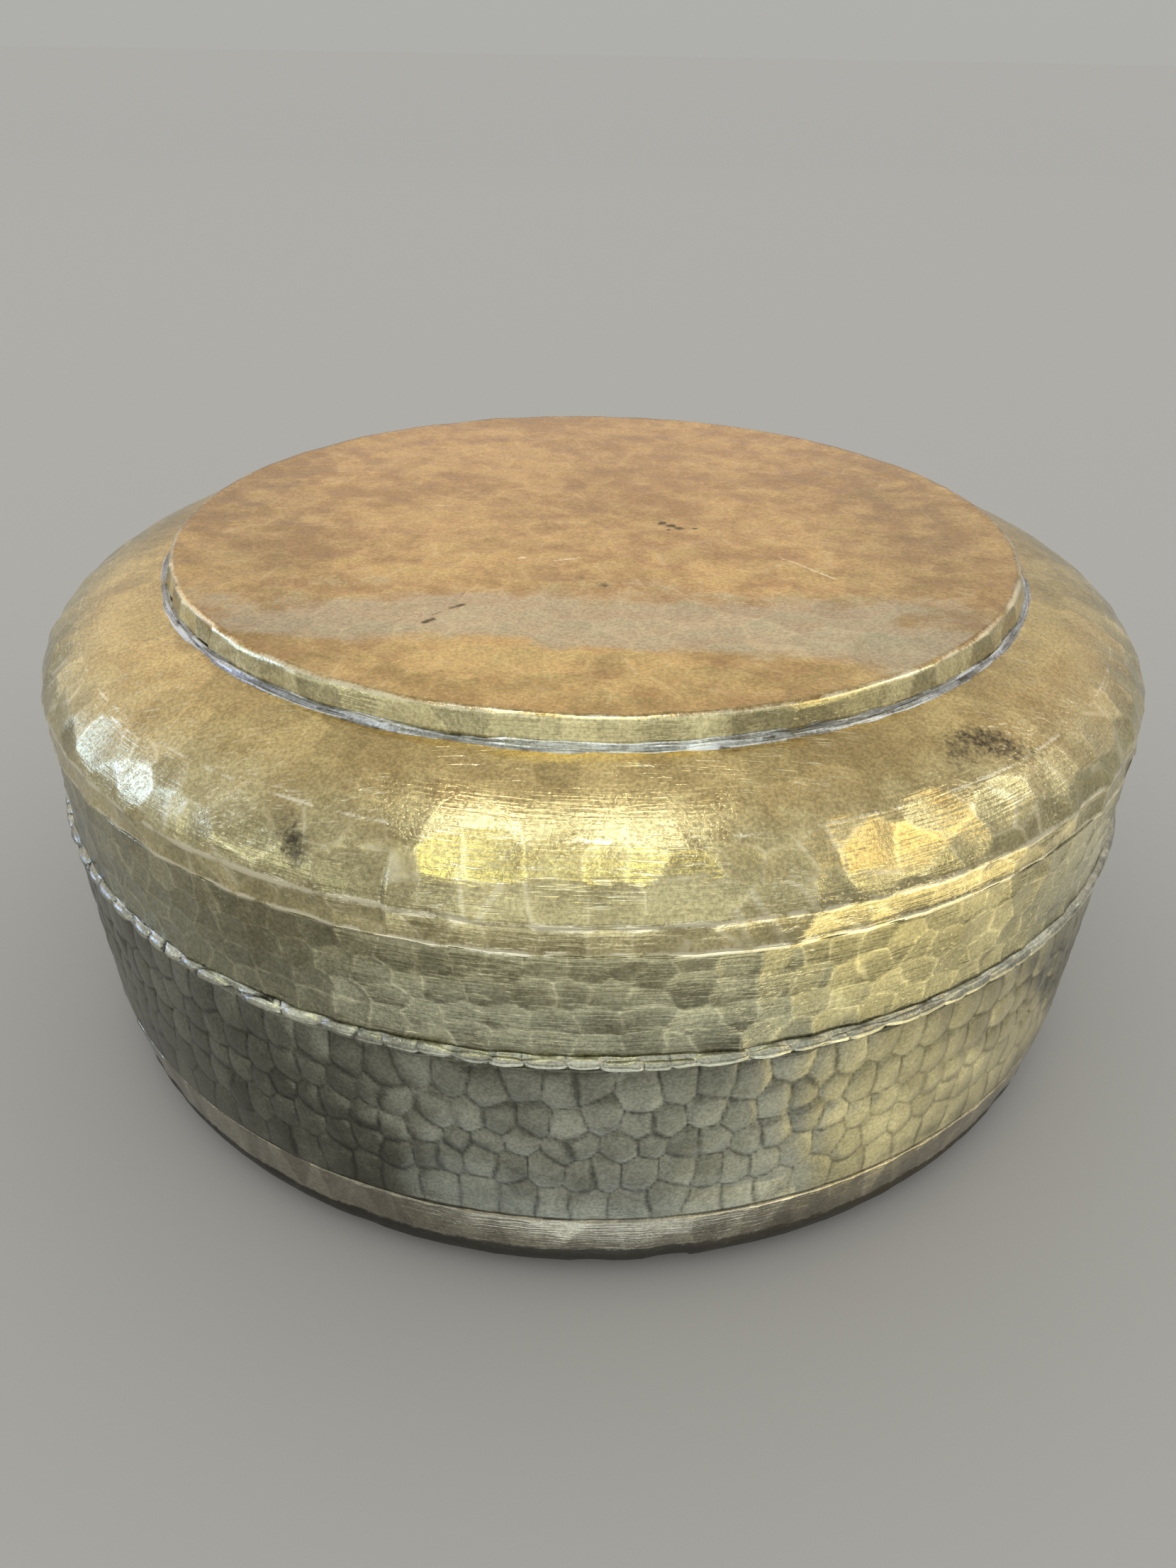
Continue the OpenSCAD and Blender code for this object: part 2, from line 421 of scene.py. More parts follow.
def lined(tree, at, base, wear_and_painted_light, line, line_width):
    """Lines between the marks, scuffed edges, and painted highlights and shadows where the mesh marks them.
    """
    edge = sums(tree, "ADD", at["rim"], swing(tree, at["speck"], 1.1))
    edge = ranged(tree, edge, 0.1, line_width, 1.0, 0.0)
    edge = sums(tree, "MULTIPLY", edge, ranged(tree, at["mottle"], 0.36, 0.6, 0.25 * line, line))
    wear_light_mask = ranged(tree, sums(tree, "ADD", at["wear_and_painted_light"], swing(tree, at["speck"], 0.9)), 0.25, 0.85)
    return mixed(tree, sums(tree, "MAXIMUM", edge, wear_light_mask), base, colour(wear_and_painted_light))


def scratches(tree, at, strength):
    """Patches of short thin scratches that cross each other."""
    crossed = 0.0
    for turn in ((0.3, 0.2, 0.5), (0.1, 0.9, 1.9), (0.7, 0.1, 2.7), (1.1, 0.5, 1.2)):
        streak = noise(tree, at["where"], 1050.0, 2.0, 0.6, (0.06, 1.0, 1.0), turn)
        crossed = sums(tree, "MAXIMUM", crossed, ranged(tree, streak, 0.62, 0.72))
    patchy = ranged(tree, noise(tree, at["where"], 45.0, 2.0), 0.42, 0.62)
    return sums(tree, "MULTIPLY", crossed, sums(tree, "MULTIPLY", patchy, strength))


def stains_and_shade(tree, at):
    """Ragged stains and painted shade, where the mesh says."""
    spread = swing(tree, noise(tree, at["where"], 600.0, 5.0, 0.75), 1.3)
    stain_shade_mask = ranged(tree, sums(tree, "ADD", at["stain_and_shade"], spread), 0.3, 0.8)
    return sums(tree, "MULTIPLY", stain_shade_mask, ranged(tree, at["stain_and_shade"], 0.02, 0.4))


def fine_normal(tree, at, crossed, brushed, bump):
    """The normal that grain, scratches and brush lines leave."""
    brush = noise(tree, at["ring"], 1500.0, 2.0, 0.5, (0.06, 0.06, 1.0))
    relief = sums(tree, "SUBTRACT", sums(tree, "MULTIPLY", at["speck"], 0.5), crossed)
    relief = sums(tree, "ADD", relief, sums(tree, "MULTIPLY", brush, brushed))
    return add(tree, "Bump", {"Strength": bump, "Distance": FINE_RELIEF, "Height": relief}).outputs[0]


def beaten(
    name, bright, dull, wear_and_painted_light=(0.93, 0.83, 0.55), stain_and_shade_colour=(0.09, 0.075, 0.05), far=None, turning=(0, 1),
    roughness=0.28, patches=0.5, marks=0.1, border=0.0, border_width=2.2, line=0.4, line_width=0.55,
    scratched=0.3, brushed=0.5, grime=0.0, film=None, grain=0.25, bump=0.5,
):
    """Beaten metal with patchy tarnish between bright and dull. far is the pair of colours it turns
    into between two lengths along the profile, partly tarnish and partly painted reflection, and
    film the colour of a pale cloudy patch on it. marks is how much the marks differ, border how
    much lighter or darker they are towards their rims, and line how strong the line between them is.
    wear_and_painted_light is the colour of that line, of scuffed edges, of painted highlights and
    shadows, and of scratches. stain_and_shade_colour is the colour of stains and of painted shade."""
    material = bpy.data.materials.new(name)
    material.use_nodes = True
    tree = material.node_tree
    tree.nodes.clear()
    at = surface_values(tree)

    base = tarnish_and_reflection(tree, at, bright, dull, far, turning, patches)
    if film:
        base = clouded(tree, at, base, film)
    base = toned(tree, at, base, marks, border, border_width, grain)
    base = lined(tree, at, base, wear_and_painted_light, line, line_width)
    crossed = scratches(tree, at, scratched)
    base = mixed(tree, crossed, base, colour(wear_and_painted_light))
    stain_shade_mask = stains_and_shade(tree, at)
    base = mixed(tree, stain_shade_mask, base, colour(stain_and_shade_colour))
    if grime:
        grimy = ranged(tree, noise(tree, at["where"], 70.0, 6.0, 0.7), 0.48, 0.68)
        base = mixed(tree, sums(tree, "MULTIPLY", grimy, grime), base, colour(GRIME))

    rough = ranged(tree, at["mottle"], 0.3, 0.7, roughness - 0.05, roughness + 0.09)
    rough = sums(tree, "ADD", rough, sums(tree, "MULTIPLY", stain_shade_mask, 0.25), clamp=True)
    normal = fine_normal(tree, at, crossed, brushed, bump)
    metal = add(tree, "BsdfPrincipled",
                {"Base Color": base, "Metallic": 1.0, "Roughness": rough, "Normal": normal})
    add(tree, "OutputMaterial", {"Surface": metal.outputs[0]})
    return material


disc_brass = beaten("disc_brass", (0.65, 0.455, 0.185), (0.41, 0.265, 0.10), wear_and_painted_light=(1.0, 0.86, 0.58),
                    stain_and_shade_colour=(0.16, 0.115, 0.06), film=(0.53, 0.45, 0.30),
                    roughness=0.17, marks=0.07, border=0.05, line=0.2, line_width=0.4, scratched=0.12,
                    brushed=0.3, patches=0.45, grain=0.22)
# The riser's rim is lighter than the disc: a painted reflection of the shoulder's shine
rim_brass_painted_reflection = beaten("rim_brass_painted_reflection", (0.80, 0.70, 0.40), (0.60, 0.52, 0.28), wear_and_painted_light=(1.0, 0.92, 0.62),
                   roughness=0.24, border=0.05, line=0.3, scratched=0.2, brushed=0.4)
# The dome turns greener towards its ridge: partly tarnish, partly painted reflection
dome_brass = beaten("dome_brass", (0.76, 0.58, 0.26), (0.56, 0.41, 0.18), wear_and_painted_light=(1.0, 0.92, 0.66),
                    far=((0.64, 0.56, 0.31), (0.45, 0.39, 0.21)), turning=(0.012, 0.036),
                    roughness=0.20, marks=0.14, border=0.12, line=0.6, scratched=0.5, brushed=0.8)
# The lid's side turns darker and greener towards its foot: partly tarnish, partly painted reflection
wall_brass = beaten("wall_brass", (0.41, 0.38, 0.235), (0.255, 0.235, 0.14),
                    far=((0.33, 0.32, 0.22), (0.215, 0.205, 0.14)), turning=(0.0, 0.02),
                    wear_and_painted_light=(0.80, 0.75, 0.50), roughness=0.26, marks=0.18, border=0.36, border_width=1.5,
                    line=0.42, scratched=0.5, brushed=1.0, patches=0.4)
# The base's side is dark olive, each mark darker towards its rim: partly tarnish, partly painted shading of
# the rounded marks and a painted dark reflection
base_brass = beaten("base_brass", (0.225, 0.222, 0.175), (0.137, 0.133, 0.102), wear_and_painted_light=DARK_LINE_AND_SHADOW,
                    roughness=0.32, marks=0.20, border=-0.45, border_width=1.7, line=0.62, line_width=0.7,
                    scratched=0.0, brushed=0.15, grime=0.25, bump=0.6)
bead_brass = beaten("bead_brass", (0.57, 0.565, 0.46), (0.34, 0.335, 0.27), wear_and_painted_light=DARK_LINE_AND_SHADOW,
                    marks=0.2, border=-0.3, border_width=1.0, line=1.0, line_width=0.75, scratched=0.0,
                    grime=0.15)
# The darkest colour of the band paints the shade on the pan's underside and corner
band_brass = beaten("band_brass", (0.415, 0.38, 0.29), (0.295, 0.265, 0.20), wear_and_painted_light=(0.70, 0.69, 0.62),
                    stain_and_shade_colour=(0.075, 0.067, 0.056), roughness=0.22, marks=0.2, border=0.1, line=0.35,
                    scratched=0.2, brushed=1.2, patches=0.6, grime=0.15)
inner_brass = beaten("inner_brass", (0.68, 0.52, 0.26), (0.46, 0.34, 0.17), roughness=0.34, line=0.3,
                     brushed=0.7, grime=0.2)
bowl_brass = beaten("bowl_brass", (0.78, 0.61, 0.31), (0.58, 0.44, 0.21), roughness=0.26, line=0.35)
solder_metal = beaten("solder_metal", (0.50, 0.51, 0.51), (0.26, 0.26, 0.25), wear_and_painted_light=(0.80, 0.83, 0.86),
                      roughness=0.30, scratched=0.0, brushed=2.5, bump=0.9)


def finish_piece(piece, body, nodes, material, inside=None):
    """Rides the piece on its body, in place of its CAD nodes, with its materials."""
    piece.data.materials.append(material)
    piece.data.materials.append(inside or material)
    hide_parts(*nodes)
    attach(piece, body)


# ---------------------------------------------------------------- lid: raised disc

lid_top = top_of("lid_top_disc")
disc_foot = foot_of("lid_top_disc")
rim_r = radius_of("lid_top_disc")
disc_r = rim_r - RIM_SPREAD
flat_r = disc_r - DISC_EDGE - DISC_LEAN
turn_r = flat_r + 0.8 * MM    # where the disc's marks give way to the rim's

# Corroded specks on the disc: x, y, radius and strength, in mm
SPECKS = [
    (18.3, 0.8, 1.6, 0.9), (20.5, -1.2, 1.7, 1.0), (22.6, -3.0, 1.6, 1.0), (26.6, -3.0, 1.2, 0.8),
    (19.6, -4.4, 1.1, 0.8), (-3.5, -40.0, 2.6, 0.5), (2.2, -44.0, 2.8, 0.55), (27.0, -49.0, 2.4, 0.35),
    (-31.0, -92.0, 1.0, 0.6), (-27.5, -93.5, 0.8, 0.5), (14.0, -90.0, 1.1, 0.5), (-24.0, -34.0, 1.4, 0.3),
]
# Scores across the disc: from, to, half width and strength, in mm, dark first and then bright
DARK_SCORES = [
    (-41.5, -71.5, -36.0, -66.0, 1.1, 0.75), (-36.5, -63.0, -29.5, -57.0, 1.0, 0.7),
    (-31.0, -51.0, -28.0, -46.5, 0.8, 0.7), (-6.0, -36.0, 3.0, -38.5, 0.6, 0.4),
    (14.5, -57.0, 20.5, -71.0, 0.4, 0.3),
]
BRIGHT_SCORES = [
    (46.9, -23.6, 59.1, -37.4, 0.5, 0.8), (-10.0, -28.5, -4.5, -26.5, 0.6, 0.9),
    (-19.0, -26.8, -17.5, -26.6, 0.7, 1.0), (33.0, -53.0, 47.0, -55.0, 0.5, 0.5),
    (-47.0, 12.0, -39.0, 12.5, 0.6, 0.6),
]


def scored(x, y, scores):
    """How much each point lies on one of some straight scores."""
    total = np.zeros(x.shape)
    for ax, ay, bx, by, half, strength in scores:
        t = ((x - ax) * (bx - ax) + (y - ay) * (by - ay)) / ((bx - ax) ** 2 + (by - ay) ** 2)
        t = np.clip(t, 0, 1)
        off = np.hypot(x - ax - t * (bx - ax), y - ay - t * (by - ay))
        total = np.maximum(total, strength * np.exp(-((off / half) ** 2)))
    return total


def drift(x, y, seed, wide, tall):
    """Smooth random values over the disc, in blobs of some mm."""
    return speckle((x + 160) * MM / rim_r, (y + 160) * MM, seed, rim_r, wide * MM, tall * MM)


def disc_relief(theta, v):
    """Shallow marks in rings on the disc, flat facets on its turned-down rim."""
    rings = []
    count = 12
    for i in range(count):
        middle = (i + 0.5) / count * flat_r
        rings.append(row(i / count * flat_r, (i + 1) / count * flat_r, 9 * MM, max(middle, 4 * MM),
                         deep=0.06, bow=0.07, lean=0.013, stray=0.13, sink=0.015, steep=0.05))
    rim = row(flat_r + DISC_EDGE, disc_path[-1, 2] + 1 * MM, 7 * MM, rim_r, deep=0.08, bow=0.001,
              lean=0.05, stray=0.07, sink=0.01, steep=0.0)
    depth, near, mark = blows(theta, v, rings, 11, 0.015)
    rim_depth, rim_near, rim_mark = blows(theta, v, [rim], 12, 0.02)
    over = step_at(v, turn_r, 1.2)
    height = depth * (1 - over) + rim_depth * over - DISC_SUNK
    height = height + waves(theta, v, 5, 0.12) * step_at(v, 0, 30)
    x, y = v * np.cos(theta) / MM, v * np.sin(theta) / MM
    flat = v < flat_r
    dark = scored(x, y, DARK_SCORES) * flat
    bright = scored(x, y, BRIGHT_SCORES) * flat
    # Rubbed edge of the raised disc, partly wear and partly a painted highlight along the rounded edge
    edge = bump_at(v, flat_r + 1.0 * MM, 0.9) * (0.8 + 0.5 * speckle(theta, v, 3, disc_r, 5 * MM))
    stain_and_shade = dark * (0.65 + 0.6 * drift(x, y, 43, 3, 1.2))
    ragged = 7 * drift(x, y, 41, 34, 11) + 3 * drift(x, y, 42, 9, 4)
    film = np.clip((-39 - (x / 26) ** 2 - y + ragged) / 16, 0, 1)
    film = film * np.clip((y + 85 + 0.08 * x + 0.7 * ragged) / 9, 0, 1)
    for sx, sy, size, strength in SPECKS:
        stain_and_shade = np.maximum(stain_and_shade, strength * np.exp(-((x - sx) ** 2 + (y - sy) ** 2) / size ** 2) * flat)
    return height - 0.05 * MM * (dark + bright), {
        "rim": np.where(over > 0.5, rim_near, near), "mark": np.where(over > 0.5, rim_mark * 3, mark),
        "wear_and_painted_light": np.clip(np.maximum(edge, bright), 0, 1), "stain_and_shade": stain_and_shade, "film": film * flat,
    }


disc_points = [(0.0, lid_top), (flat_r, lid_top)]
disc_points += arc(flat_r, lid_top - DISC_EDGE, DISC_EDGE, DISC_EDGE, 0, 72, 12)[1:]
disc_path = spaced([*disc_points, (rim_r, disc_foot)], 0.95 * MM)
disc_rest = [(rim_r - SHEET, disc_foot, 0.5), (disc_r - SHEET, lid_top - DISC_EDGE, 0.5),
             (flat_r, lid_top - SHEET, 0.99)]
disc_rest += [(r, lid_top - SHEET, 0.99) for r in np.linspace(disc_r - 4 * MM, 0, 40)]
disc = turned("lid_disc", disc_path, disc_rest, 896, disc_relief,
              halve=(0.056, 0.028, 0.014, 0.007, 0.0035))
finish_piece(disc, "lid", ["lid_top_disc"], disc_brass, inner_brass)
# Faces of the rim take the lighter brass with the painted reflection
disc.data.materials.append(rim_brass_painted_reflection)
for face in disc.data.polygons:
    if math.hypot(*face.center.xy) > turn_r:
        face.material_index = 2

# ---------------------------------------------------------------- lid: shoulder

ridge_r = radius_of("lid_shoulder")
skirt_z = foot_of("lid_shoulder")
ridge_z = skirt_z + SKIRT
start_r = disc_r - SHOULDER_START
drop = disc_foot - ridge_z

inside_r = disc_r - SHEET - 0.4 * MM
upstand_top = lid_top - SHEET - 0.6 * MM
shoulder_points = [(inside_r, disc_foot + 1 * MM), (start_r + 0.6 * MM, disc_foot)]
shoulder_points += arc(start_r, ridge_z, ridge_r - start_r, drop, 6, 90, 60, SHOULDER_POWER)
shoulder_path = spaced([*shoulder_points, (ridge_r, skirt_z)], 0.8 * MM)
shoulder_foot = shoulder_path[-1, 2]
on_shoulder = shoulder_path[:-12]    # without the skirt, where the radius grows no more
seam_v, first_v, second_v, third_v = (along(on_shoulder, r * MM) for r in (115.0, 124.7, 134.5, 141.3))
ridge_v = shoulder_foot - SKIRT

# Smudges on the shoulder: degrees from the front, radius, width and height in mm, strength
SMUDGES = [
    (-23.5, 140.6, 4.2, 4.2, 0.60), (-22.0, 143.0, 3.4, 3.6, 0.42), (-25.2, 137.6, 3.4, 3.0, 0.36),
    (34.5, 129.0, 5.5, 5.5, 0.50), (38.5, 127.5, 6.0, 5.0, 0.46), (41.0, 132.0, 7.0, 6.0, 0.50),
    (44.0, 136.5, 6.0, 4.0, 0.32), (37.0, 124.0, 6.0, 3.0, 0.2), (-53.0, 124.0, 7.0, 4.0, 0.22),
]


def shoulder_relief(theta, v):
    """Broad soft marks near the disc, flat facets towards the ridge and down the skirt."""
    rows = [
        row(seam_v - 9 * MM, seam_v, 9 * MM, 0.112, deep=0.03, bow=0.05, lean=0.004, steep=0.03),
        row(seam_v, first_v, 9 * MM, 0.120, deep=0.05, bow=0.07, lean=0.008, stray=0.1, steep=0.04),
        row(first_v, second_v, 9.5 * MM, 0.130, deep=0.03, bow=0.05, lean=0.006, stray=0.08),
        row(second_v, third_v, 8.0 * MM, 0.138, deep=0.10, bow=0.20, lean=0.05, stray=0.05),
        row(third_v, ridge_v, 7.5 * MM, 0.143, deep=0.10, bow=0.22, lean=0.06, stray=0.05),
        row(ridge_v, shoulder_foot, 7.4 * MM, 0.145, deep=0.10, bow=0.16, lean=0.06, stray=0.04),
    ]
    depth, near, mark = blows(theta, v, rows, 21)
    ridges = bump_at(v, ridge_v, 0.8) + bump_at(v, shoulder_foot - 0.4 * MM, 0.8)
    height = depth - DOME_SUNK + waves(theta, v, 6, 0.14) + 0.24 * MM * ridges
    # Ridges and the crease between rows: partly rubbed bright, partly a painted highlight of the light from
    # above
    crest = 1.2 * ridges + 0.7 * bump_at(v, second_v, 0.5)
    crest = crest * (0.8 + 0.7 * speckle(theta, v, 8, ridge_r, 3 * MM))
    stain_and_shade = np.zeros(theta.shape)
    for degrees, r, wide, tall, strength in SMUDGES:
        aside = (theta - FRONT - math.radians(degrees) + math.pi) % TAU - math.pi
        up = v - along(on_shoulder, r * MM)
        stain_and_shade += strength * np.exp(-((aside * r / wide) ** 2) - (up / (tall * MM)) ** 2)
    near = near + 2.5 * (1 - step_at(v, second_v - 2.5 * MM, 3))
    return height, {"rim": near, "mark": mark, "wear_and_painted_light": np.clip(crest, 0, 1), "stain_and_shade": np.clip(stain_and_shade, 0, 1)}


under_shoulder = arc(start_r, ridge_z, ridge_r - SHEET - start_r, drop - SHEET, 90, 8, 26, SHOULDER_POWER)
shoulder_rest = [(ridge_r - SHEET, skirt_z, 0.5), *((r, z, 0.5) for r, z in under_shoulder)]
shoulder_rest += [(inside_r - SHEET, disc_foot - SHEET, 0.2), (inside_r - SHEET, upstand_top, 0.0),
                  (inside_r, upstand_top, 0.0)]
shoulder = turned("lid_dome", shoulder_path, shoulder_rest, 1240, shoulder_relief, coarse=True)
finish_piece(shoulder, "lid", ["lid_shoulder"], dome_brass, inner_brass)

# ---------------------------------------------------------------- lid: solder

seam_r = radius_of("lid_solder_seam")
seam_z = foot_of("lid_solder_seam")
seam_path = spaced([(rim_r - 0.7 * MM, seam_z + 0.8 * MM), (rim_r + 0.2 * MM, seam_z + 0.65 * MM),
                    (rim_r + 0.8 * MM, seam_z + 0.35 * MM), (rim_r + 1.5 * MM, seam_z - 0.1 * MM),
                    (rim_r + 2.1 * MM, seam_z - 0.7 * MM)], 0.26 * MM)


def seam_relief(theta, v):
    """Lumps and runs of hand-laid solder."""
    all_round = np.zeros(theta.shape)
    thick = 0.35 * speckle(theta, all_round, 33, seam_r, 19 * MM)
    thick = thick + 0.22 * speckle(theta, all_round, 36, seam_r, 6 * MM)
    streak = speckle(theta, v, 31, seam_r, 8 * MM, 0.5 * MM)
    lump = speckle(theta, v, 32, seam_r, 5 * MM, 0.45 * MM)
    height = (thick + 0.16 * streak + 0.14 * lump - 0.3 - 0.4 * np.cos(theta) ** 2) * MM
    wear_and_painted_light = np.clip(0.2 + 0.9 * streak, 0, 1)
    return height, {"wear_and_painted_light": wear_and_painted_light, "stain_and_shade": np.clip(-0.25 - 1.1 * lump, 0, 1) * 0.9}


seam_rest = [(rim_r + 1.6 * MM, seam_z - 1.1 * MM, 0.0), (rim_r - 0.9 * MM, seam_z - 1.0 * MM, 0.0)]
seam = turned("lid_solder", seam_path, seam_rest, 1200, seam_relief)
finish_piece(seam, "lid", ["lid_solder_seam"], solder_metal)

# ---------------------------------------------------------------- lid: side

wall_foot = foot_of("lid_wall")
wall_r = radius_of("lid_wall")
wall_path = spaced([(wall_r + 0.25 * MM, skirt_z + 0.3 * MM), (wall_r, skirt_z - 0.6 * MM),
                    (wall_r - WALL_TAPER, wall_foot)], 0.65 * MM)


def wall_relief(theta, v):
    """Four rows of marks, each row struck over the one above."""
    tall = wall_path[-1, 2]
    places = (0, 0.28, 0.53, 0.765, 1)
    rows = []
    for i, wide in enumerate((7.3, 7.8, 8.4, 8.2)):
        rows.append(row(places[i] * tall, places[i + 1] * tall, wide * MM, wall_r, deep=0.10, bow=0.10,
                        lean=0.035, stray=0.09, sink=0.02, reach=1.02, steep=0.5, late=0.07 * i))
    depth, near, mark = blows(theta, v, rows, 41)
    height = (depth - WALL_SUNK) * step_at(v, 0, 1.2) + waves(theta, v, 6, 0.1)
    # Darker along the side's foot, in the crevice above the ledge: painted shade
    return height, {"rim": near, "mark": mark, "stain_and_shade": bump_at(v, tall, 0.35) * 0.4}


bore_r = wall_r - WALL_TAPER - SHEET
tongue_r = ridge_r - SHEET - 0.1 * MM
tongue_top = skirt_z + TONGUE
wall_rest = [(bore_r + WALL_TAPER * t, wall_foot + (skirt_z - wall_foot) * t, 0.4)
             for t in np.linspace(0, 0.95, 14)]
wall_rest += [(tongue_r - SHEET, skirt_z, 0.3), (tongue_r - SHEET, tongue_top, 0.0),
              (tongue_r, tongue_top, 0.0), (tongue_r, skirt_z + 0.3 * MM, 0.0)]
side = turned("lid_side", wall_path, wall_rest, 1440, wall_relief, coarse=True)
finish_piece(side, "lid", ["lid_wall"], wall_brass, inner_brass)

# ---------------------------------------------------------------- base: ledge

ledge_z = top_of("base_rim_bead")
bead_foot = foot_of("base_rim_bead")
bead_r = radius_of("base_rim_bead") - 0.06 * MM
neck_r = radius_of("base_neck_collar")
bead_points = [(neck_r + 0.3 * MM, ledge_z), (bead_r - 1.5 * MM, ledge_z),
               (bead_r - 0.8 * MM, ledge_z - 0.2 * MM), (bead_r - 0.2 * MM, ledge_z - 0.8 * MM),
               (bead_r, ledge_z - 1.5 * MM), (bead_r - 0.25 * MM, bead_foot + 0.4 * MM),
               (bead_r - 0.9 * MM, bead_foot)]
bead_path = spaced(bead_points, 0.28 * MM)


def bead_relief(theta, v):
    """One row of long marks, cracked between, and beaten hardest on the left of the front."""
    tall = bead_path[-1, 2]
    blow = row(tall - 4 * MM, tall + 0.5 * MM, 7.4 * MM, bead_r, deep=0.40, bow=0.05, lean=0.08, stray=0.17,
               sink=0.08, steep=0.4)
    depth, near, mark = blows(theta, v, [blow], 51)
    rough = 0.16 * MM * (speckle(theta, v, 52, bead_r, 3 * MM, 1.2 * MM) - 1)
    shows = step_at(v, tall - 4.5 * MM, 0.6)
    beaten_side = np.cos(theta - FRONT + math.radians(60))
    uneven = 0.2 * speckle(theta, np.zeros(theta.shape), 53, bead_r, 30 * MM)
    hard = np.clip(0.55 + 0.75 * beaten_side + uneven, 0.1, 1)
    crack = 0.4 * MM * np.exp(-((near / 0.45) ** 2))
    # A dark band along the bead's underside: painted shadow below the overhanging bead
    return np.minimum(rough - (depth + crack) * hard, 0) * shows, {
        "rim": near + 1.5 * (1 - hard), "mark": mark, "wear_and_painted_light": 0.8 * bump_at(v, tall, 0.3),
    }


bead_rest = [(bead_r - 1.2 * MM, bead_foot, 0.0), (neck_r + 0.3 * MM, bead_foot, 0.0)]
bead = turned("base_ledge", bead_path, bead_rest, 1600, bead_relief)
finish_piece(bead, "base", ["base_rim_bead"], bead_brass)

# ---------------------------------------------------------------- base: side

side_top = top_of("base_wall")
side_top_r = radius_of("base_wall")
pan_h = top_of("base_bottom_pan")
pan_r = radius_of("base_bottom_pan")
side_foot_r = pan_r - 0.3 * MM


def side_r(z):
    """Radius of the base's side at a height."""
    u = (z - pan_h) / (side_top - pan_h)
    return side_foot_r + (side_top_r - side_foot_r) * u + BASE_BULGE * u * (1 - u)


side_path = spaced([(side_r(z), z) for z in np.linspace(side_top, pan_h + 0.1 * MM, 24)], 0.75 * MM)


def side_relief(theta, v):
    """Rows of rounded marks with dark grooves between them."""
    tall = side_path[-1, 2]
    places = [tall * share for share in (0, 0.215, 0.41, 0.59, 0.79)]
    rows = rows_between(places, [7.6 * MM, 7.0 * MM, 6.8 * MM], side_top_r, deep=0.30, bow=0.28, lean=0.03,
                        stray=0.10, sink=0.04, reach=1.0, steep=0.8)
    rows.append(row(places[3], places[4], 6.8 * MM, side_top_r, deep=0.16, bow=0.16, lean=0.03, stray=0.09,
                    sink=0.03, reach=1.05, steep=0.6))
    rows.append(row(places[4], tall, 8.4 * MM, side_top_r, deep=0.12, bow=0.10, lean=0.02, stray=0.07,
                    sink=0.02, reach=1.15, steep=0.4))
    depth, near, mark = blows(theta, v, rows, 61, 0.06)
    depth = np.minimum(depth, 0.8 * MM) * (1 - 0.75 * step_at(v, tall - 2 * MM, 2))
    return waves(theta, v, 7, 0.10) - depth - BASE_SUNK, {"rim": near, "mark": mark}


side_rest = [(side_foot_r - SHEET, pan_h + 0.1 * MM, 0.0)]
side_rest += [(side_r(z) - SHEET, z, 0.4) for z in np.linspace(pan_h + 2 * MM, side_top, 20)]
base_side = turned("base_side", side_path, side_rest, 1380, side_relief, coarse=True)
finish_piece(base_side, "base", ["base_wall"], base_brass, inner_brass)

# ---------------------------------------------------------------- base: bottom pan

corner_top_r = pan_r - PAN_TAPER
floor_r = corner_top_r - PAN_CORNER
floor_rings = (0.110, 0.085, 0.060, 0.038, 0.020, 0.010, 0.005, 0.0)
pan_points = [(pan_r - SHEET, pan_h), (pan_r - 0.15 * MM, pan_h - 0.1 * MM), (corner_top_r, PAN_CORNER)]
pan_path = spaced([*pan_points, *arc(floor_r, PAN_CORNER, PAN_CORNER, PAN_CORNER, 92, 180, 30)], 0.8 * MM)


def pan_relief(theta, v):
    """Tall narrow facets round the band, planed smooth below."""
    band = pan_h - PAN_CORNER + 2 * MM
    facets = row(0.0, band, 4.6 * MM, pan_r, deep=0.06, bow=0.10, lean=0.03, stray=0.16, sink=0.01,
                 steep=0.05)
    below = rows_between([band, band + 7 * MM, band + 15 * MM], [9 * MM, 9 * MM], floor_r, deep=0.05,
                         bow=0.12, lean=0.01)
    depth, near, mark = blows(theta, v, [facets, *below], 71)
    to_floor = np.clip((pan_path[-1, 2] - v - 1 * MM) / (5 * MM), 0, 1)
    height = (depth - PAN_SUNK + waves(theta, v, 7, 0.12)) * to_floor
    # Darker on the pan's underside and round its corner: painted shade. Also a dark line along its top,
    # where it meets the side.
    underside_shade_and_joint_line = 0.85 * step_at(v, band - 1.5 * MM, 1.0) + 0.15 * step_at(v, band + 2 * MM, 3)
    underside_shade_and_joint_line = np.maximum(underside_shade_and_joint_line, 0.75 * bump_at(v, 0.3 * MM, 0.35))
    return height, {"rim": near, "mark": mark, "wear_and_painted_light": bump_at(v, band - 2 * MM, 0.5) * 0.5, "stain_and_shade": underside_shade_and_joint_line}


inner_corner = PAN_CORNER - SHEET
pan_rest = [(r, 0.0, 0.0) for r in floor_rings]
pan_rest += [(r, SHEET, 0.0) for r in (*reversed(floor_rings), floor_r)]
pan_rest += [(r, z, 0.0) for r, z in arc(floor_r, PAN_CORNER, inner_corner, inner_corner, 170, 95, 12)]
pan_rest += [(pan_r - SHEET - 0.4 * MM, pan_h - 0.6 * MM, 0.0)]
pan = turned("base_pan", pan_path, pan_rest, 1152, pan_relief,
             halve=(0.115, 0.07, 0.045, 0.025, 0.012, 0.006))
finish_piece(pan, "base", ["base_bottom_pan"], band_brass, inner_brass)

# ---------------------------------------------------------------- base: neck and braze

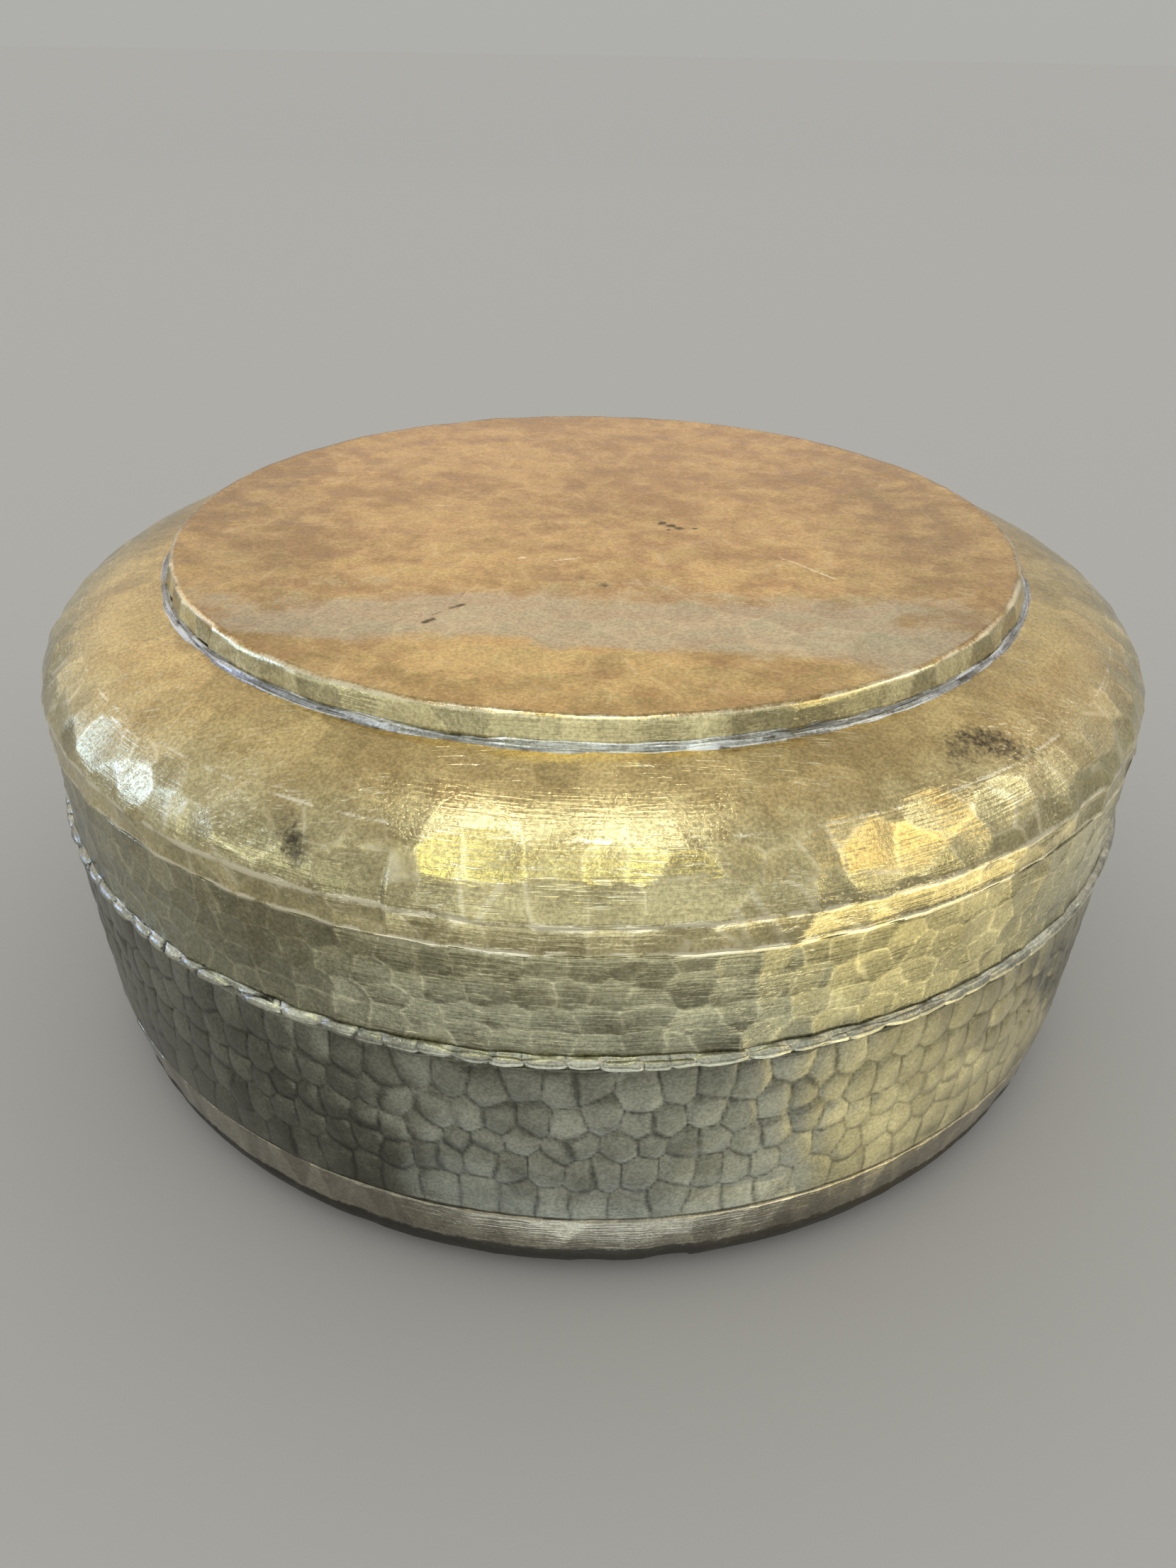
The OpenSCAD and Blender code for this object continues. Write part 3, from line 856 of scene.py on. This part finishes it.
neck_top = top_of("base_neck_collar")
neck_foot = foot_of("base_neck_collar")
neck_path = spaced([(neck_r - NECK_SHEET * 0.5, neck_top), (neck_r - 0.1 * MM, neck_top - 0.3 * MM),
                    (neck_r, neck_top - 0.9 * MM), (neck_r, neck_foot)], 0.6 * MM)


def neck_relief(theta, v):
    """Planished marks so light that only the shine shows them."""
    places = np.linspace(1 * MM, neck_path[-1, 2], 5).tolist()
    rows = rows_between(places, [9 * MM] * 4, neck_r, deep=0.05, bow=0.05, lean=0.01, stray=0.1, steep=0.05)
    depth, near, mark = blows(theta, v, rows, 81)
    below = step_at(v, 1 * MM, 2)
    return (depth - NECK_SUNK) * below, {"rim": near, "mark": mark, "wear_and_painted_light": (1 - below) * 0.7}


neck_rest = [(neck_r - NECK_SHEET, z, 0.5) for z in np.linspace(neck_foot, neck_top - 0.4 * MM, 30)]
neck = turned("base_neck", neck_path, neck_rest, 1024, neck_relief)
finish_piece(neck, "base", ["base_neck_collar"], inner_brass)

for node in ("lid_inner_braze", "neck_braze", "base_inner_braze"):
    frame["nodes"][node].data.materials.clear()
    frame["nodes"][node].data.materials.append(inner_brass)

# ---------------------------------------------------------------- bowls

def bowl(i):
    """One of the small bowls of beaten brass, with a flat foot and a rolled rim."""
    node = f"bowl_{i}"
    low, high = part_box(node)
    centre = ((low.x + high.x) / 2, (low.y + high.y) / 2)
    roll_r = (high.x - low.x) / 2 - ROLL
    rim_z = high.z - low.z - ROLL
    bulge = roll_r + BOWL_SHEET / 2 - BOWL_FOOT_R
    points = [(roll_r + ROLL * math.cos(math.radians(a)), rim_z + ROLL * math.sin(math.radians(a)))
              for a in range(150, -61, -30)]
    path = spaced([*points, *arc(BOWL_FOOT_R, rim_z, bulge, rim_z, 92, 178, 40)], 0.9 * MM)
    places = np.linspace(6 * MM, path[-1, 2], 7).tolist()
    rows = rows_between(places, [8 * MM] * 6, roll_r * 0.85, deep=0.08, bow=0.10, lean=0.02, stray=0.1)

    def relief(theta, v):
        depth, near, mark = blows(theta, v, rows, 90 + i)
        fade = step_at(v, 6 * MM, 3) * np.clip((path[-1, 2] - v) / (4 * MM), 0, 1)
        return (depth - BOWL_SUNK) * fade, {
            "rim": near + 3 * (1 - fade), "mark": mark * fade, "wear_and_painted_light": bump_at(v, 2 * MM, 2) * 0.5,
        }

    foot_rings = (24, 15, 8, 4, 0)
    inside = arc(BOWL_FOOT_R, rim_z, bulge - BOWL_SHEET, rim_z - BOWL_SHEET, 180, 96, 40)
    rest = [(r * MM, 0.0, 0.0) for r in foot_rings]
    rest += [(r * MM, BOWL_SHEET, 0.0) for r in reversed(foot_rings)]
    rest += [(r, z, 0.99) for r, z in inside]
    made = turned(f"katori_{i}", path, rest, 384, relief, halve=(0.027, 0.018, 0.010, 0.005), centre=centre,
                  lift=low.z)
    body = next(b for b, members in frame["record"]["behaviour"]["bodies"].items() if node in members)
    finish_piece(made, body, [node], bowl_brass)


for number in range(1, BOWLS + 1):
    bowl(number)

# ---------------------------------------------------------------- studio

FLOOR_R = 40.0
FLOOR_SIDES = 96

COOL = (0.90, 1.0, 1.0)
GREENISH = (0.93, 1.0, 0.90)
GOLD = (1.0, 0.98, 0.36)
HORIZON = (0.43, 0.428, 0.412)
SKY = (0.60, 0.605, 0.59)


def floor():
    """A wide pale floor."""
    mesh = bpy.data.meshes.new("floor")
    angles = [k * TAU / FLOOR_SIDES for k in range(FLOOR_SIDES)]
    edge = [(FLOOR_R * math.cos(a), FLOOR_R * math.sin(a), 0.0) for a in angles]
    mesh.from_pydata(edge, [], [tuple(range(FLOOR_SIDES))])
    made = bpy.data.objects.new("floor", mesh)
    bpy.context.scene.collection.objects.link(made)
    material = bpy.data.materials.new("floor_paint")
    material.use_nodes = True
    paint = material.node_tree.nodes["Principled BSDF"]
    paint.inputs["Base Color"].default_value = colour((0.70, 0.685, 0.66))
    paint.inputs["Roughness"].default_value = 0.75
    paint.inputs["Specular IOR Level"].default_value = 0.2
    mesh.materials.append(material)


def panel(name, place, turned_to, width, height, radiance, tint):
    """A soft light of a given radiance that only the metal mirrors."""
    data = bpy.data.lights.new(name, "AREA")
    data.shape = "RECTANGLE"
    data.size, data.size_y = width, height
    data.energy = radiance * width * height * math.pi
    data.color = tint
    lamp = bpy.data.objects.new(name, data)
    lamp.location = place
    lamp.rotation_mode = "QUATERNION"
    lamp.rotation_quaternion = turned_to
    lamp.visible_camera = False
    lamp.visible_diffuse = False
    bpy.context.scene.collection.objects.link(lamp)


def softbox(name, azimuth, elevation, distance, width, height, radiance, tint):
    """A soft light that faces the box. Azimuth 0 is the camera's side and grows towards +X."""
    a, e = math.radians(azimuth), math.radians(elevation)
    away = Vector((math.sin(a) * math.cos(e), -math.cos(a) * math.cos(e), math.sin(e)))
    place = Vector((0, 0, lid_top)) + away * distance
    panel(name, place, (-away).to_track_quat("-Z", "Y"), width, height, radiance, tint)


def floor_card(name, azimuth, distance, width, depth, radiance, tint):
    """A glowing card flat on the floor."""
    a = math.radians(azimuth)
    place = Vector((distance * math.sin(a), -distance * math.cos(a), 3 * MM))
    face_up = Matrix.Rotation(a, 3, "Z") @ Matrix.Rotation(math.pi, 3, "X")
    panel(name, place, face_up.to_quaternion(), width, depth, radiance, tint)


floor()

# Azimuth, elevation, distance, width, height, radiance and tint
softbox("top_left", -79, 77, 1.5, 0.07, 0.07, 90.0, COOL)
softbox("top_right", 57, 84, 1.5, 0.07, 0.07, 90.0, COOL)
softbox("overhead", -4, 75, 1.6, 0.70, 0.26, 0.6, GREENISH)
softbox("gold_left", -27, 57, 1.6, 0.17, 0.24, 7.5, GOLD)
softbox("gold_right", 17, 62, 1.6, 0.14, 0.20, 7.5, GOLD)
softbox("front", 0, 12, 2.2, 2.6, 1.0, 0.42, GREENISH)
softbox("pale_left", -26, 14, 1.6, 0.16, 0.16, 1.8, (0.80, 0.96, 1.0))
softbox("pale_right", 27, 27, 1.6, 0.16, 0.16, 1.6, (0.86, 1.0, 0.94))
softbox("left_window", -95, 14, 1.5, 0.50, 0.50, 3.0, (0.36, 0.53, 1.0))
softbox("left_low", -62, 12, 1.6, 0.40, 0.30, 1.7, (0.86, 0.98, 0.95))
softbox("right_warm", 71, 38, 1.5, 0.40, 0.45, 2.1, (1.0, 0.72, 0.26))
softbox("right_window", 92, 36, 1.5, 0.20, 0.26, 4.0, COOL)
softbox("right_low", 56, 14, 1.5, 0.36, 0.26, 2.4, (1.0, 0.92, 0.55))
softbox("back_warm", 181, 20, 2.6, 1.3, 1.4, 0.14, (1.0, 0.55, 0.30))
softbox("back_glow", 181, 20, 2.7, 2.6, 1.4, 0.18, (1.0, 0.45, 0.20))
softbox("back_left", -128, 22, 2.6, 1.9, 1.4, 0.30, (1.0, 0.80, 0.66))
softbox("back_right", 122, 22, 2.6, 1.7, 1.4, 0.18, (1.0, 0.66, 0.45))
softbox("back_high", 180, 32, 2.4, 1.6, 0.36, 0.36, (0.35, 1.0, 1.0))

# Azimuth, distance, width, depth, radiance and tint
floor_card("front_card", 0, 0.192, 0.24, 0.046, 0.85, (0.95, 1.0, 0.98))
floor_card("foot_card", 3, 0.152, 0.12, 0.010, 1.5, (0.84, 0.94, 1.0))
floor_card("middle_card", 18, 0.176, 0.05, 0.040, 1.0, (1.0, 0.96, 0.75))
floor_card("right_card", 33, 0.184, 0.115, 0.062, 2.1, (1.0, 0.88, 0.50))
floor_card("far_right_card", 53, 0.188, 0.08, 0.070, 0.8, (1.0, 0.86, 0.50))
floor_card("wide_right_card", 48, 0.255, 0.19, 0.070, 1.5, (1.0, 0.88, 0.52))
floor_card("side_card", 84, 0.228, 0.11, 0.070, 0.42, (1.0, 0.92, 0.66))

world = bpy.data.worlds.new("studio")
bpy.context.scene.world = world
world.use_nodes = True
sky = world.node_tree
direction = add(sky, "TexCoord").outputs["Generated"]
upward = add(sky, "SeparateXYZ", {0: direction}).outputs[2]
glow = mixed(sky, ranged(sky, upward, 0.0, 0.45), colour(HORIZON), colour(SKY))
sky.links.new(glow, sky.nodes["Background"].inputs["Color"])

# ---------------------------------------------------------------- camera

CAMERA_PLACE = (0.0, -0.3155, 0.240)
PITCH, YAW, TILT = math.radians(31.5), math.radians(-0.16), math.radians(-0.97)

ahead = Vector((math.sin(YAW) * math.cos(PITCH), math.cos(YAW) * math.cos(PITCH), -math.sin(PITCH)))
level = Vector((math.cos(YAW), -math.sin(YAW), 0))
down = ahead.cross(level)
image_x = math.cos(TILT) * level + math.sin(TILT) * down
image_down = math.cos(TILT) * down - math.sin(TILT) * level
camera_data = bpy.data.cameras.new("camera")
camera_data.lens = 27.67
camera_data.sensor_width = 36.0
camera_data.clip_start = 0.01
camera = bpy.data.objects.new("camera", camera_data)
bpy.context.scene.collection.objects.link(camera)
facing_box = Matrix((image_x, -image_down, -ahead)).transposed()
camera.matrix_world = Matrix.Translation(CAMERA_PLACE) @ facing_box.to_4x4()
bpy.context.scene.camera = camera
bpy.context.scene.view_settings.view_transform = "Standard"
